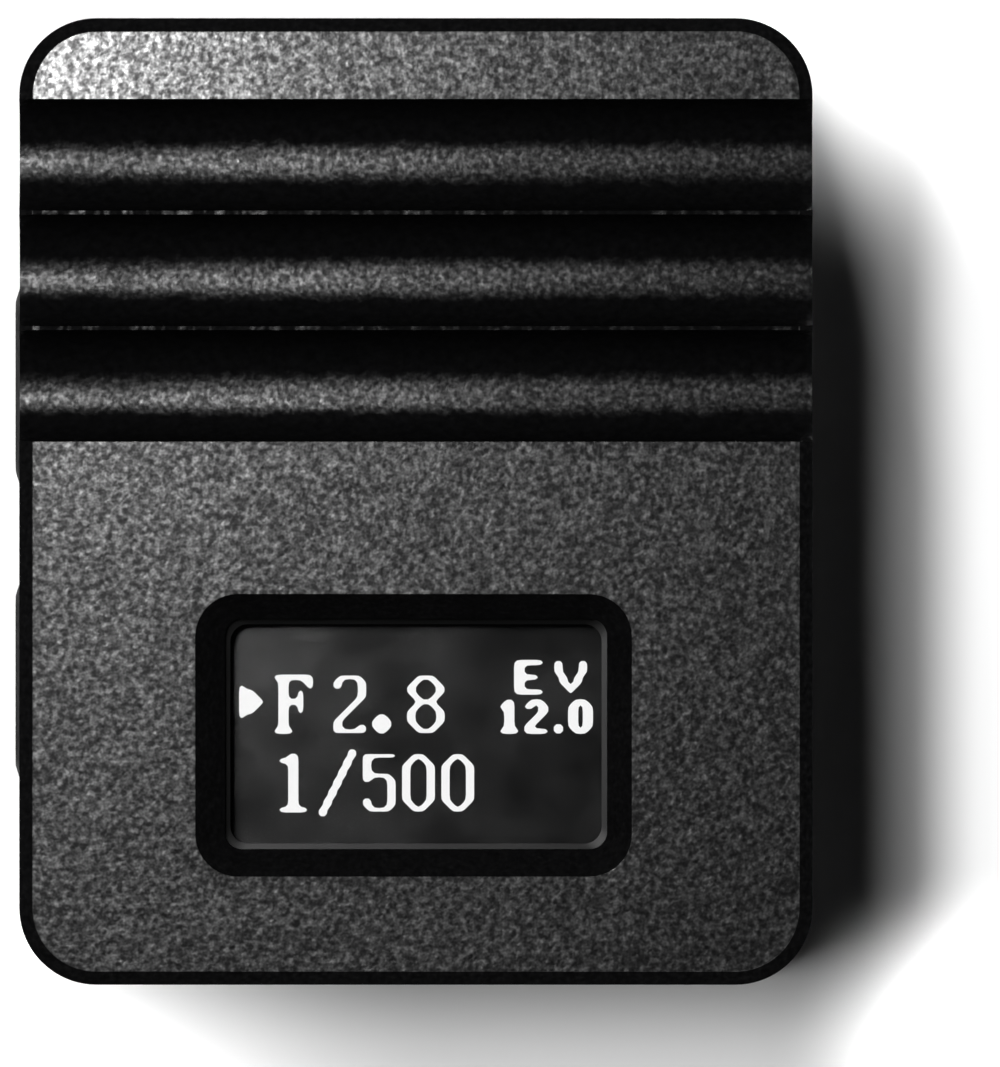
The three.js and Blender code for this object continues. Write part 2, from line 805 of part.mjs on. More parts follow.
// Main board, notched round the four base bosses and drilled for its two screws
function mainBoard() {
  const whole = block([boardLeft, boardRight], [boardRear, boardFront], [zBoardBottom, zBoardTop]);
  const reach = baseBossRadius + boardClearance;
  const cutZ = [zBoardBottom - overrun, zBoardTop + overrun];
  const notches = corners.map(([sideX, sideY]) => {
    const notchX = sideX * (baseScrewX - reach);
    const notchY = sideY * (baseScrewY - reach);
    const edgeX = sideX * (bodyHalfWidth + overrun);
    const edgeY = sideY * (bodyHalfLength + overrun);
    return block(
      [Math.min(notchX, edgeX), Math.max(notchX, edgeX)],
      [Math.min(notchY, edgeY), Math.max(notchY, edgeY)],
      cutZ,
    );
  });
  const holes = boardScrewXs.map((x) => (
    upright(boardScrewShankRadius + screwClearance, cutZ[0], cutZ[1], x, boardScrewY)
  ));
  return named('main_board', cutFrom(whole, [...notches, ...holes]), boardGreen);
}

function boardScrews() {
  return boardScrewXs.map((x, index) => {
    const length = boardScrewHeadHeight + boardThickness + boardScrewEngagement;
    const body = turned([
      [0, 0],
      [boardScrewHeadRadius, 0],
      [boardScrewHeadRadius, boardScrewHeadHeight],
      [boardScrewShankRadius, boardScrewHeadHeight],
      [boardScrewShankRadius, length],
      [0, length],
    ], smallRoundSides);
    const socketDepth = socketDepthShare * boardScrewHeadHeight;
    const socketRadius = socketWidthShare * boardScrewHeadRadius;
    const socket = upright(socketRadius, -overrun, socketDepth, 0, 0, socketSides);
    const screw = named(`board_screw_${index + 1}`, body.subtract(socket), blackSteel);
    screw.position.set(x, boardScrewY, zBoardBottom - boardScrewHeadHeight);
    return screw;
  });
}

// A small part standing on the board's top, at a share of the free zone in front of the connector
function boardChip(name, [shareX, shareY], width, length, height, material) {
  const chip = named(name, centredBlock(width, length, 0, height), material);
  const x = boardLeft + shareX * (boardRight - boardLeft);
  const y = connectorRearY + length / 2 + shareY * (boardFront - connectorRearY - length);
  chip.position.set(x, y, zBoardTop);
  return chip;
}

function boardTopParts() {
  const controllerY = (connectorFrontY + boardFront) / 2 - connectorRearY - controllerSize / 2;
  const controllerShareY = controllerY / (boardFront - connectorRearY - controllerSize);
  return [
    boardChip(
      'microcontroller',
      [controllerPlaceShare, controllerShareY],
      controllerSize,
      controllerSize,
      controllerHeight,
      chipBlack,
    ),
    boardChip(
      'voltage_converter',
      converterPlaceShares,
      converterWidth,
      converterLength,
      converterHeight,
      chipBlack,
    ),
    boardChip('clock_crystal', crystalPlaceShares, crystalWidth, crystalLength, crystalHeight, canSteel),
    ...capacitorPlaceShares.map((shares, index) => (
      boardChip(`ceramic_capacitor_${index + 1}`, shares, chipLength, chipWidth, chipHeight, ceramicTan)
    )),
    ...resistorPlaceShares.map((shares, index) => (
      boardChip(`chip_resistor_${index + 1}`, shares, chipWidth, chipWidth, chipHeight / 2, chipBlack)
    )),
  ];
}

// The reservoir capacitor hangs under the board between the left post and the measure switch
function reservoirCapacitor() {
  const leftEdge = -postOffsetX + postRadius;
  const rightEdge = measureButtonSide - switchWidth / 2;
  const body = named(
    'reservoir_capacitor',
    centredBlock(reservoirLength, reservoirWidth, -reservoirHeight, 0),
    ceramicTan,
  );
  body.position.set((leftEdge + rightEdge) / 2, postY, zBoardBottom);
  return body;
}

// The power inductor hangs under the board beside the right post, in front of the board's notch
function powerInductor() {
  const leftEdge = postOffsetX + postRadius;
  const rearEdge = -baseScrewY + baseBossRadius + boardClearance;
  const body = named(
    'power_inductor',
    centredBlock(inductorSize, inductorSize, -inductorHeight, 0),
    foam,
  );
  const y = rearEdge + boardClearance + inductorSize / 2;
  body.position.set((leftEdge + boardRight) / 2, y, zBoardBottom);
  return body;
}

// Push button with its switch, drawn with +X pointing out of the wall's outer face
function buttonCap(kind) {
  const outline = roundedOutline(kind.length, kind.height, kind.corner);
  const depth = sideWall + buttonPlay;
  const headGeometry = new THREE.ExtrudeGeometry(outline, {
    depth,
    bevelEnabled: true,
    bevelThickness: kind.protrusion,
    bevelSize: kind.bevel,
    bevelOffset: -kind.bevel,
    bevelSegments: 1,
    curveSegments: smallCornerSteps,
  });
  headGeometry.applyMatrix4(alongX);
  headGeometry.translate(-depth, 0, 0);
  const flangeHalf = kind.length / 2 + buttonFlangeLip;
  const flangeReach = kind.height / 2 + buttonFlangeLip;
  const flange = block(
    [-depth - buttonFlangeThickness, -depth],
    [-flangeHalf, flangeHalf],
    [-flangeReach, flangeReach],
  );
  const stemHalf = Math.min(buttonStemRadius, plungerHeight / 2);
  const stem = block([-plungerDepth, -depth], [-buttonStemRadius, buttonStemRadius], [-stemHalf, stemHalf]);
  return named(`${kind.name}_button`, joined([solidFrom(headGeometry), flange, stem]), nylon);
}

function switchBody(kind) {
  const body = block(
    [-switchDepth - switchLength, -switchDepth],
    [-switchWidth / 2, switchWidth / 2],
    [-switchHeight / 2, switchHeight / 2],
  );
  const halfWidth = plungerWidth / 2 + plungerClearance;
  const halfHeight = plungerHeight / 2 + plungerClearance;
  const cavity = block(
    [-switchDepth - cavityDepth, -switchDepth + overrun],
    [-halfWidth, halfWidth],
    [-halfHeight, halfHeight],
  );
  return named(`${kind.name}_switch_body`, body.subtract(cavity), switchPlastic);
}

function switchPlunger(kind) {
  const plunger = block(
    [-switchDepth - plungerInside, -plungerDepth],
    [-plungerWidth / 2, plungerWidth / 2],
    [-plungerHeight / 2, plungerHeight / 2],
  );
  return named(`${kind.name}_switch_plunger`, plunger, switchPlastic);
}

function switchDome(kind) {
  const back = -switchDepth - cavityDepth;
  const dome = block(
    [back, back + domeThickness],
    [-plungerWidth / 2, plungerWidth / 2],
    [-plungerHeight / 2, plungerHeight / 2],
  );
  return named(`${kind.name}_switch_dome`, dome, canSteel);
}

function buttonAssembly(kind) {
  const assembly = new THREE.Group();
  assembly.add(buttonCap(kind), switchBody(kind), switchPlunger(kind), switchDome(kind));
  assembly.position.set(kind.x, kind.y, zPlunger);
  assembly.rotation.z = kind.turn;
  return assembly;
}

// Light sensor, drawn about the Z axis with its front face up, then laid along +Y
function domeHeight(radius) {
  const share = radius / (ringDiameter / 2);
  return ringDomeHeight * (1 - share * share);
}

function sensorRing() {
  const outer = ringDiameter / 2;
  const bore = ringBore / 2;
  const middle = (outer + bore) / 2;
  return named('sensor_ring', turned([
    [bore, -sideWall],
    [outer, -sideWall],
    [outer, 0],
    [middle, domeHeight(middle)],
    [bore, domeHeight(bore)],
    [bore, -sideWall],
  ]), nylon);
}

function sensorLens() {
  const rim = ringBore / 2 - lensClearance;
  return named('sensor_lens', turned([
    [0, -lensThickness],
    [rim, -lensThickness],
    [rim, domeHeight(rim)],
    [rim / 2, domeHeight(rim / 2)],
    [0, domeHeight(0)],
  ]), opticGlass);
}

function lightTube() {
  const length = innerHalfLength - sensorBoardFrontY;
  const tube = ringForm(tubeOuterRadius, tubeBore / 2, -sideWall - length, -sideWall, 0, 0);
  return named('light_tube', tube, switchPlastic);
}

function sensorParts() {
  const optics = new THREE.Group();
  optics.add(sensorRing(), sensorLens(), lightTube());
  optics.position.set(0, bodyHalfLength, zSensor);
  optics.rotation.x = -Math.PI / 2;
  const boardLow = zSensor - tubeOuterRadius - sensorBoardMargin;
  const board = block(
    [-sensorBoardWidth / 2, sensorBoardWidth / 2],
    [sensorBoardRearY, sensorBoardFrontY],
    [boardLow, zBoardBottom],
  );
  const diode = block(
    [-photodiodeWidth / 2, photodiodeWidth / 2],
    [sensorBoardFrontY, sensorBoardFrontY + photodiodeThickness],
    [zSensor - photodiodeHeight / 2, zSensor + photodiodeHeight / 2],
  );
  return [optics, named('sensor_board', board, boardGreen), named('photodiode', diode, opticGlass)];
}

// Battery drawer: tray on two fingers either side of the contact slot, front plate in the right wall
function batteryDrawer() {
  const across = [-trayOuterHalf, trayOuterHalf];
  const floor = block([trayEndX, innerHalfWidth], across, [zTrayBottom, zBatteryBottom]);
  const wallUp = [zTrayBottom, zBatteryBottom + trayWallHeight];
  const leftWall = block([trayEndX, innerHalfWidth], [trayInnerHalf, trayOuterHalf], wallUp);
  const rightWall = block([trayEndX, innerHalfWidth], [-trayOuterHalf, -trayInnerHalf], wallUp);
  const stopX = batteryX - batteryRadius - batteryClearance;
  const stop = block([stopX - trayWall, stopX], across, [zBatteryBottom, zBatteryBottom + trayWallHeight]);
  const front = block([innerHalfWidth, bodyHalfWidth], across, [zTrayBottom, zDrawerTop]);
  const earOut = trayOuterHalf + trayEarWidth;
  const ears = block(
    [trayEndX, trayEndX + trayEarLength],
    [-earOut, earOut],
    [zTrayBottom, zTrayBottom + trayEarHeight],
  );
  const earGap = block(
    [trayEndX - overrun, trayEndX + trayEarLength + overrun],
    [-trayInnerHalf, trayInnerHalf],
    [zBatteryBottom, zBodyTop],
  );
  const slotHalf = leafWidth / 2 + leafSlotClearance;
  const slotEnd = batteryX + leafCrownLength / 2 + leafTipLength + leafSlotClearance;
  const slot = block([trayEndX - overrun, slotEnd], [-slotHalf, slotHalf], [zBaseTop, zBatteryBottom]);
  const notch = upright(nailNotchRadius, -nailNotchLength / 2, nailNotchLength / 2, 0, 0, roundSides);
  const notchX = bodyHalfWidth + nailNotchRadius - nailNotchDepth;
  const notchZ = (zBatteryBottom + zDrawerTop) / 2;
  const placedNotch = notch.rotate([-90, 0, 0]).translate([notchX, 0, notchZ]);
  const tray = joined([floor, leftWall, rightWall, ears]).subtract(earGap);
  const whole = joined([tray, stop, front]);
  return named('battery_drawer', cutFrom(whole, [slot, placedNotch]), nylon);
}

// Button cell with its negative cap down, drawn about the Z axis from the cap's face up
function batteryCell() {
  const recess = batteryRadius - batteryCrimp;
  const sealInner = recess - batterySealWidth;
  const edge = batteryEdgeRadius;
  const can = turned([
    [0, batteryCapHeight],
    [recess, batteryCapHeight],
    [recess, batteryCapProud],
    [batteryRadius - edge, batteryCapProud],
    [batteryRadius, batteryCapProud + edge],
    [batteryRadius, batteryHeight - edge],
    [batteryRadius - edge, batteryHeight],
    [0, batteryHeight],
  ]);
  const seal = ringForm(recess - batterySealGap, sealInner, batteryCapProud, batteryCapHeight, 0, 0);
  const cap = upright(sealInner - batterySealGap, 0, batteryCapHeight, 0, 0, roundSides);
  const cell = new THREE.Group();
  cell.add(
    named('battery_can', can, canSteel),
    named('battery_seal', seal, sealNylon),
    named('battery_cap', cap, canSteel),
  );
  cell.position.set(batteryX, 0, zBatteryBottom);
  return cell;
}

function negativeLeaf() {
  const crownZ = zBatteryBottom - contactGap - leafThickness;
  const crownStart = batteryX - leafCrownLength / 2;
  const crownEnd = batteryX + leafCrownLength / 2;
  const points = [
    [contactPinX - 2 * contactPinRadius, zBaseTop],
    [crownStart - leafRampLength, zBaseTop],
    [crownStart, crownZ],
    [crownEnd, crownZ],
    [crownEnd + leafTipLength, (zBaseTop + crownZ) / 2],
  ];
  const shift = new THREE.Vector3(0, leafWidth / 2, 0);
  return named('negative_contact_leaf', strip(points, leafThickness, leafWidth, alongY, shift), goldBrass);
}

function positiveLeaf() {
  const padZ = zBoardBottom - leafThickness;
  const contactZ = zBatteryTop + contactGap;
  const contactStart = batteryX - leafCrownLength / 2;
  const contactEnd = batteryX + leafCrownLength / 2;
  const points = [
    [contactStart - leafRampLength - leafPadLength, padZ],
    [contactStart - leafRampLength, padZ],
    [contactStart, contactZ],
    [contactEnd, contactZ],
    [contactEnd + leafTipLength, (padZ + contactZ) / 2],
  ];
  const shift = new THREE.Vector3(0, leafWidth / 2, 0);
  return named('positive_contact_leaf', strip(points, leafThickness, leafWidth, alongY, shift), goldBrass);
}

function contactPin() {
  const pin = upright(contactPinRadius, zBaseTop + leafThickness, zBoardBottom, contactPinX, 0);
  return named('contact_pin', pin, goldBrass);
}

const lightMeter = new THREE.Group();
lightMeter.name = 'shoe_mount_light_meter';
lightMeter.add(
  housing(),
  basePlate(),
  shoeFoot(),
  ...baseScrews(),
  ...footScrews(),
  displayWindow(),
  windowGasket(),
  ...displayGlass(),
  displayFlex(),
  flexConnector(),
  displayFoam(),
  mainBoard(),
  ...boardScrews(),
  ...boardTopParts(),
  reservoirCapacitor(),
  powerInductor(),
  ...buttonKinds.map(buttonAssembly),
  ...sensorParts(),
  batteryDrawer(),
  batteryCell(),
  negativeLeaf(),
  positiveLeaf(),
  contactPin(),
);

export default lightMeter;
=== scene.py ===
"""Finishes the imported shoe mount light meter: outer surfaces, lit readout, materials, lamps and camera."""

import math

import bmesh
import bpy
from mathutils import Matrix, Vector

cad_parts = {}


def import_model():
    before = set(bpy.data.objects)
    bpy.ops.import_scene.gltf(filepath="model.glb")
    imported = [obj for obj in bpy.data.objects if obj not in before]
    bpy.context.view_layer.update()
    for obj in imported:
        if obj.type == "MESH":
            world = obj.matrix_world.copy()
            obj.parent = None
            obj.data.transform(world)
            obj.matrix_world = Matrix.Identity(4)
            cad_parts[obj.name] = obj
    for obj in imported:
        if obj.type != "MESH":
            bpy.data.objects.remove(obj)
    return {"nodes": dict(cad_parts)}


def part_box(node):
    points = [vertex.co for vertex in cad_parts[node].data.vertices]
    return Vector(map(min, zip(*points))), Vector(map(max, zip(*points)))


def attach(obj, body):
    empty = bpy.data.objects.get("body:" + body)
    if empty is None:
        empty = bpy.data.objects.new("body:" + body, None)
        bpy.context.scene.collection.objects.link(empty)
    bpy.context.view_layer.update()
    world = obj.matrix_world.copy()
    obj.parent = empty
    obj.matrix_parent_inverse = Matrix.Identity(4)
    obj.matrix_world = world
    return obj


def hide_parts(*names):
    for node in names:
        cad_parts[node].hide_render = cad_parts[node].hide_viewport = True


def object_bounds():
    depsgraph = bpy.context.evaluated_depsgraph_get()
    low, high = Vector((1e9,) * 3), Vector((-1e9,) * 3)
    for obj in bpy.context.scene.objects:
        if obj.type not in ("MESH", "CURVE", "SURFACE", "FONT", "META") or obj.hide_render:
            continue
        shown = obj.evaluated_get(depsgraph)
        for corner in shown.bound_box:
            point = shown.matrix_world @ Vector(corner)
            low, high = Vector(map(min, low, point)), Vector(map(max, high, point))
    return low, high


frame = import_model()
NODES = frame["nodes"]
cad_low, cad_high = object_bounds()

MM = 0.001

# Display window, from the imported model's own boxes
PANE_LOW, PANE_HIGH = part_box("display_window")
COVER_LOW, COVER_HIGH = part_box("display_cover_glass")
WINDOW_CENTRE_Y = (PANE_LOW.y + PANE_HIGH.y) / 2
WINDOW_SEAT_LIP = 0.7 * MM
WINDOW_CORNER = 0.45 * MM
CORNER_STEPS = 8
BORDER_WIDTH = 0.14 * MM
BORDER_DROP = 0.028 * MM

# The readout's dots, as characters raised on the cover glass
DOT_PITCH = 0.1277 * MM
DOT_COLUMNS = 72
DOT_ROWS = 40
DOT_LIFT = 0.01 * MM
DOT_THICKNESS = 0.02 * MM

# How far the outlines are drawn in towards the lit side, in dots, and how much they are evened out
THIN_INSET = 0.16
BOLD_INSET = -0.04
THIN_GLYPHS = {"large_2", "large_8", "tall_slash", "tall_5", "tall_0", "small_v"}
OWN_WEIGHT = 0.6
NEIGHBOUR_WEIGHT = 0.2

# Glow of the lit dots, and the sizes of their slight unevenness
LIT_STRENGTH = 0.95
LIT_DULL_SIZE = 0.5 * MM
LIT_DULL = 0.05
LIT_TINT_SIZE = 0.3 * MM

# Where the cross flutes lie in the top: between these places, down to their depth and a little room.
# A face there that is turned further sideways than the last value is part of a wall.
FLUTE_FRONT = 10.6 * MM
FLUTE_REAR = 1.4 * MM
FLUTE_DEPTH = 1.45 * MM
FLUTE_ROOM = 0.1 * MM
FLUTE_PITCH = 3.0 * MM
STEEP_SIDE = 0.5

# A painted highlight: the band of sheen along each flute floor, full to one distance from its middle and dull
# from the next
FLUTE_SHEEN = 0.47
STEEP_SHEEN = 0.015
BAND_SHIFT = 0.2 * MM
BAND_FULL = 0.34 * MM
BAND_END = 0.58 * MM
BAND_WANDER = 0.08 * MM
WANDER_SIZE = 0.4 * MM

# The band's strength, dull up to the first place from the left and full from the second one on: painted shade
# at the flutes' left ends
SHADED_LEVEL = 0.45
FULL_LEVEL = 1.35
SHADED_PLACE = -7.5 * MM
FULL_PLACE = -2.5 * MM

# Specks on the lands between the flutes, drawn out along them
SPECK_SIZE = 0.3 * MM
SPECK_STRETCH = (1, 0.3, 0.3)
SPECK_LEVEL = 0.35
SPECK_LOW = 0.52
SPECK_HIGH = 0.72

# How far the edge round the flat top runs in, and the recess runs out to the left and the rear
TOP_INSET = 0.06 * MM
RECESS_LEFT = 0.12 * MM
RECESS_REAR = 0.07 * MM

# The flat top's corner radius, how near its plane its points lie, and the share of its width round the recess
TOP_CORNER = 1.7 * MM
TOP_ROOM = 0.001 * MM
RECESS_SHARE = 0.6

# Sheen of the case plastic and the depths below the top at which it changes; the low wall and edge levels are
# painted shade
CASE_BLACK = (0.0018, 0.0018, 0.0019)
CASE_IOR = 1.8
GRAIN = 0.14 * MM
GRAIN_LOW = 0.22
GRAIN_HIGH = 0.8
GLINT_LOW = 0.08
GLINT_HIGH = 0.8
WALL_SHEEN = 0.26
EDGE_SHEEN = 0.03
WALL_START = 1.2 * MM
EDGE_START = 0.8 * MM
TOP_START = 0.02 * MM
TOP_FULL = 0.005 * MM
LAND_FULL = 0.01 * MM

# Softened edges: bevel widths, the angles that count as an edge, in degrees, and what is merged before
FINE_EDGE = 0.03 * MM
SOFT_EDGE = 0.04 * MM
BUTTON_EDGE = 0.06 * MM
EDGE_ANGLE = 30.0
BUTTON_ANGLE = 15.0
EDGE_STEPS = 2
WELD = 0.0002 * MM
FLAT_ANGLE = 0.4

# Moulded plastic: its coarser bump, roughness and speckle against its grain, and its lighter speckle
COARSE_GRAIN = 2.2
COARSE_DEPTH = 0.6
ROUGH_GRAIN = 1.3
ROUGH_AMOUNT = 0.06
SPECKLE_GRAIN = 1.7
SPECKLE_LIFT = 1.8

# Metal: sizes of its ripple, roughness and tint, and how far they go
METAL_RIPPLE = 0.12 * MM
METAL_RIPPLE_DEPTH = 0.0002 * MM
METAL_DULL = 0.6 * MM
METAL_DULL_AMOUNT = 0.008
METAL_TINT = 1.2 * MM
METAL_DARKEN = 0.92

# Glass: sizes of its ripple, roughness and tint, and how far the tint goes
GLASS_RIPPLE = 2.5 * MM
GLASS_DULL = 1.5 * MM
GLASS_TINT = 3 * MM
GLASS_DARKEN = 0.8

# Any material: the range that noise mostly keeps to, the least roughness, and the Mix node's colour sockets
NOISE_LOW = 0.3
NOISE_HIGH = 0.7
LEAST_ROUGHNESS = 0.02
MIX_FIRST = 6
MIX_SECOND = 7
MIX_RESULT = 2

# Camera, straight above the place in the middle of the photo, and the height of the frame in the top plane
CAMERA_X = 2.184 * MM
CAMERA_Y = -0.832 * MM
CAMERA_HEIGHT = 1100 * MM
FRAME_HEIGHT = 27.70 * MM
SENSOR = 36.0
CLIP_START = 0.01
CLIP_END = 20

# Floor, and how far out it turns from paper to plain white
FLOOR_REACH = 3.0
FLOOR_LEVEL = -0.01 * MM
FLOOR_WHITE = 0.96
FLOOR_ROUGHNESS = 0.9
PAPER_END = 30 * MM
WHITE_START = 75 * MM

# World: how high the white horizon reaches in reflections, as the sine of its height, and the faint light
HORIZON_TOP = 0.45
HORIZON_FULL = 0.15
FAINT_LIGHT = 0.002

# The dots of each character, in rows from the top
GLYPHS = {
    "pointer": [
        "#....",
        "###..",
        "####.",
        "#####",
        "####.",
        "###..",
        "#....",
    ],
    "large_f": [
        "########",
        ".##...##",
        ".##....#",
        ".##..#..",
        ".##..#..",
        ".#####..",
        ".##..#..",
        ".##..#..",
        ".##.....",
        ".##.....",
        ".##.....",
        "####....",
    ],
    "large_2": [
        ".#####.",
        "##...##",
        "##...##",
        ".....##",
        ".....##",
        "....##.",
        "...##..",
        "..##...",
        ".##....",
        "##.....",
        "##...##",
        "#######",
    ],
    "large_point": [
        ".##.",
        "####",
        "####",
        ".##.",
    ],
    "large_8": [
        "..####..",
        ".##..##.",
        "##....##",
        "##....##",
        ".##..##.",
        "..####..",
        ".##..##.",
        "##....##",
        "##....##",
        "##....##",
        ".##..##.",
        "..####..",
    ],
    "tall_1": [
        "..##..",
        "####..",
        "..##..",
        "..##..",
        "..##..",
        "..##..",
        "..##..",
        "..##..",
        "..##..",
        "..##..",
        "..##..",
        "######",
    ],
    "tall_slash": [
        "......##",
        "......##",
        ".....##.",
        ".....##.",
        "....##..",
        "....##..",
        "...##...",
        "...##...",
        "..##....",
        "..##....",
        ".##.....",
        ".##.....",
        "##......",
        "##......",
    ],
    "tall_5": [
        "#######",
        "##.....",
        "##.....",
        "##.....",
        "######.",
        "##...##",
        ".....##",
        ".....##",
        ".....##",
        "##...##",
        "##...##",
        ".#####.",
    ],
    "tall_0": [
        "..###..",
        ".##.##.",
        "##...##",
        "##...##",
        "##...##",
        "##...##",
        "##...##",
        "##...##",
        "##...##",
        "##...##",
        ".##.##.",
        "..###..",
    ],
    "small_e": [
        "######",
        "##....",
        "##....",
        "#####.",
        "##....",
        "##....",
        "######",
    ],
    "small_v": [
        "##...##",
        "##...##",
        "##...##",
        ".##.##.",
        ".##.##.",
        "..###..",
        "...#...",
    ],
    "small_1": [
        ".##.",
        "###.",
        ".##.",
        ".##.",
        ".##.",
        ".##.",
        "####",
    ],
    "small_2": [
        ".###.",
        "##.##",
        "...##",
        "..##.",
        ".##..",
        "##...",
        "#####",
    ],
    "small_point": [
        "##",
        "##",
    ],
    "small_0": [
        ".###.",
        "##.##",
        "##.##",
        "##.##",
        "##.##",
        "##.##",
        ".###.",
    ],
}

# Glyph, column and row of its top left dot
READOUT = [
    ("pointer", 0, 10),
    ("large_f", 7, 8),
    ("large_2", 19, 8),
    ("large_point", 27, 16),
    ("large_8", 34, 8),
    ("tall_1", 8, 24),
    ("tall_slash", 16, 23),
    ("tall_5", 25, 24),
    ("tall_0", 33, 24),
    ("tall_0", 41, 24),
    ("small_e", 56, 5),
    ("small_v", 64, 5),
    ("small_1", 53, 13),
    ("small_2", 58, 13),
    ("small_point", 64, 18),
    ("small_0", 67, 13),
]


def new_object(name, data):
    obj = bpy.data.objects.new(name, data)
    bpy.context.scene.collection.objects.link(obj)
    return obj


def math_node(tree, operation, first, second):
    """The output of a sum, product or other operation on a value and another value or a number."""
    node = tree.nodes.new("ShaderNodeMath")
    node.operation = operation
    tree.links.new(first, node.inputs[0])
    if isinstance(second, float):
        node.inputs[1].default_value = second
    else:
        tree.links.new(second, node.inputs[1])
    return node.outputs[0]


def range_node(tree, value, low, high, source_low, source_high):
    """A value mapped from one range to another, and held within the second one."""
    node = tree.nodes.new("ShaderNodeMapRange")
    node.inputs["From Min"].default_value = source_low
    node.inputs["From Max"].default_value = source_high
    node.inputs["To Min"].default_value = low
    node.inputs["To Max"].default_value = high
    tree.links.new(value, node.inputs["Value"])
    return node


def mix_node(tree, amount, first, second):
    """The first shader where the amount is 0 and the second where it is 1."""
    node = tree.nodes.new("ShaderNodeMixShader")
    tree.links.new(amount, node.inputs["Fac"])
    tree.links.new(first, node.inputs[1])
    tree.links.new(second, node.inputs[2])
    return node.outputs["Shader"]


class Shader:
    """A material with a Principled shader and short ways to add procedural nodes."""

    def __init__(self, name, color, roughness, metallic=0.0, ior=1.5):
        self.material = bpy.data.materials.new(name)
        self.material.use_nodes = True
        self.tree = self.material.node_tree
        self.surface = self.tree.nodes["Principled BSDF"]
        self.surface.inputs["Base Color"].default_value = (*color, 1)
        self.surface.inputs["Roughness"].default_value = roughness
        self.surface.inputs["Metallic"].default_value = metallic
        self.surface.inputs["IOR"].default_value = ior
        self.color = color
        self.roughness = roughness
        coordinates = self.tree.nodes.new("ShaderNodeTexCoord")
        self.place = coordinates.outputs["Object"]

    def noise(self, size, detail=3.0, stretch=(1, 1, 1)):
        """Fractal noise whose features are about size metres wide."""
        mapping = self.tree.nodes.new("ShaderNodeMapping")
        mapping.inputs["Scale"].default_value = stretch
        self.tree.links.new(self.place, mapping.inputs["Vector"])
        node = self.tree.nodes.new("ShaderNodeTexNoise")
        node.inputs["Scale"].default_value = 1 / size
        node.inputs["Detail"].default_value = detail
        self.tree.links.new(mapping.outputs["Vector"], node.inputs["Vector"])
        return node.outputs["Fac"]

    def coordinate(self, axis):
        split = self.tree.nodes.new("ShaderNodeSeparateXYZ")
        self.tree.links.new(self.place, split.inputs["Vector"])
        return split.outputs[axis]

    def total(self, first, second):
        return math_node(self.tree, "ADD", first, second)

    def product(self, first, second):
        return math_node(self.tree, "MULTIPLY", first, second)

    def folded(self, value, half):
        """Distance to the nearest whole multiple of twice the half width."""
        return math_node(self.tree, "PINGPONG", value, half)

    def spread(self, value, low, high, source_low=NOISE_LOW, source_high=NOISE_HIGH):
        """A value mapped between two levels, a value of noise when no range is given."""
        return range_node(self.tree, value, low, high, source_low, source_high).outputs["Result"]

    def tint(self, value, other):
        """Base colour between the material's own and another one, by a value of noise."""
        node = self.tree.nodes.new("ShaderNodeMix")
        node.data_type = "RGBA"
        node.inputs[MIX_FIRST].default_value = (*self.color, 1)
        node.inputs[MIX_SECOND].default_value = (*other, 1)
        self.tree.links.new(self.spread(value, 0, 1), node.inputs[0])
        self.tree.links.new(node.outputs[MIX_RESULT], self.surface.inputs["Base Color"])

    def vary_roughness(self, value, amount):
        low = max(self.roughness - amount, LEAST_ROUGHNESS)
        high = min(self.roughness + amount, 1)
        self.tree.links.new(self.spread(value, low, high), self.surface.inputs["Roughness"])

    def bump(self, value, depth):
        """Adds a bump of depth metres under any bump already there."""
        node = self.tree.nodes.new("ShaderNodeBump")
        node.inputs["Distance"].default_value = depth
        self.tree.links.new(value, node.inputs["Height"])
        socket = self.surface.inputs["Normal"]
        if socket.is_linked:
            self.tree.links.new(socket.links[0].from_socket, node.inputs["Normal"])
        self.tree.links.new(node.outputs["Normal"], socket)


def moulded(name, color, roughness, grain, depth, other=None, level=0.5):
    """Plastic with a fine grain: speckled colour, roughness and bump. Grain and depth in millimetres."""
    shader = Shader(name, color, roughness)
    shader.surface.inputs["Specular IOR Level"].default_value = level
    shader.bump(shader.noise(grain * MM, detail=1.5), depth * MM)
    shader.bump(shader.noise(grain * COARSE_GRAIN * MM, detail=2.0), depth * COARSE_DEPTH * MM)
    shader.vary_roughness(shader.noise(grain * ROUGH_GRAIN * MM), ROUGH_AMOUNT)
    speckle = other or tuple(c * SPECKLE_LIFT for c in color)
    shader.tint(shader.noise(grain * SPECKLE_GRAIN * MM), speckle)
    return shader


def case_nylon(name, painted_sheen):
    """Black sintered nylon: grains that catch the light, under a painted mask of sheen and shade that dulls
    some areas.
    """
    shader = moulded(name, CASE_BLACK, roughness=0.36, grain=0.13, depth=0.008)
    shader.surface.inputs["IOR"].default_value = CASE_IOR
    grains = shader.spread(shader.noise(GRAIN, detail=1.0), 0.0, 1.0, GRAIN_LOW, GRAIN_HIGH)
    glints = shader.spread(shader.product(grains, grains), GLINT_LOW, GLINT_HIGH, 0.0, 1.0)
    level = shader.product(glints, painted_sheen(shader))
    shader.tree.links.new(level, shader.surface.inputs["Specular IOR Level"])
    return shader


def below_top(depth):
    return cad_high.z - depth


def painted_top_sheen(shader):
    """Painted sheen and shade: full sheen on the flat top, little on the edges and walls below it, which
    keeps them dark.
    """
    height = shader.coordinate("Z")
    edges = shader.spread(height, WALL_SHEEN, EDGE_SHEEN, below_top(WALL_START), below_top(EDGE_START))
    flat = shader.spread(height, 0.0, 1.0, below_top(TOP_START), below_top(TOP_FULL))
    return shader.total(edges, flat)


